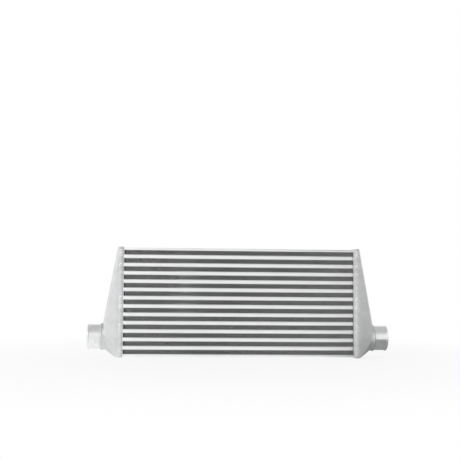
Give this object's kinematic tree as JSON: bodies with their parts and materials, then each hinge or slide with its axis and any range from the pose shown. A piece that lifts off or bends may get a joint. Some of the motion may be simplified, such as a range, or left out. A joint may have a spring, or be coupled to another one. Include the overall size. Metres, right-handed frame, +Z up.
{
  "type": "intercooler",
  "caption": "Air-to-air charge cooler: bar-and-plate core between two cast end tanks with beaded hose spigots at the bottom corners.",
  "frame": {"origin": "bottom centre of the bounding box, where it stands", "axes": "+X along the core from spigot to spigot, +Z up, front face towards -Y"},
  "size_m": [0.772, 0.0804, 0.2814],
  "materials": {
    "fin_stock": "thin rolled sheet, brazed",
    "sheet_stock": "clad sheet, brazed",
    "bar_stock": "extruded bar, satin",
    "cast_tank": "sand cast, fine grain",
    "polished_tube": "polished tube",
    "weld_metal": "rippled weld bead"
  },
  "bodies": {
    "root": {"bottom_plate": "bar_stock", "end_bars_left": "bar_stock", "end_bars_right": "bar_stock", "fin_row_01": "fin_stock", "fin_row_02": "fin_stock", "fin_row_03": "fin_stock", "fin_row_04": "fin_stock", "fin_row_05": "fin_stock", "fin_row_06": "fin_stock", "fin_row_07": "fin_stock", "fin_row_08": "fin_stock", "fin_row_09": "fin_stock", "fin_row_10": "fin_stock", "fin_row_11": "fin_stock", "fin_row_12": "fin_stock", "fin_row_13": "fin_stock", "left_core_weld": "weld_metal", "left_spigot": "polished_tube", "left_tank": "cast_tank", "long_bars_01": "bar_stock", "long_bars_02": "bar_stock", "long_bars_03": "bar_stock", "long_bars_04": "bar_stock", "long_bars_05": "bar_stock", "long_bars_06": "bar_stock", "long_bars_07": "bar_stock", "long_bars_08": "bar_stock", "long_bars_09": "bar_stock", "long_bars_10": "bar_stock", "long_bars_11": "bar_stock", "long_bars_12": "bar_stock", "parting_sheets_01": "sheet_stock", "parting_sheets_02": "sheet_stock", "parting_sheets_03": "sheet_stock", "parting_sheets_04": "sheet_stock", "parting_sheets_05": "sheet_stock", "parting_sheets_06": "sheet_stock", "parting_sheets_07": "sheet_stock", "parting_sheets_08": "sheet_stock", "parting_sheets_09": "sheet_stock", "parting_sheets_10": "sheet_stock", "parting_sheets_11": "sheet_stock", "parting_sheets_12": "sheet_stock", "right_core_weld": "weld_metal", "right_spigot": "polished_tube", "right_tank": "cast_tank", "spigot_welds": "weld_metal", "top_plate": "bar_stock", "turbulator_01": "fin_stock", "turbulator_02": "fin_stock", "turbulator_03": "fin_stock", "turbulator_04": "fin_stock", "turbulator_05": "fin_stock", "turbulator_06": "fin_stock", "turbulator_07": "fin_stock", "turbulator_08": "fin_stock", "turbulator_09": "fin_stock", "turbulator_10": "fin_stock", "turbulator_11": "fin_stock", "turbulator_12": "fin_stock"}
  },
  "joints": []
}
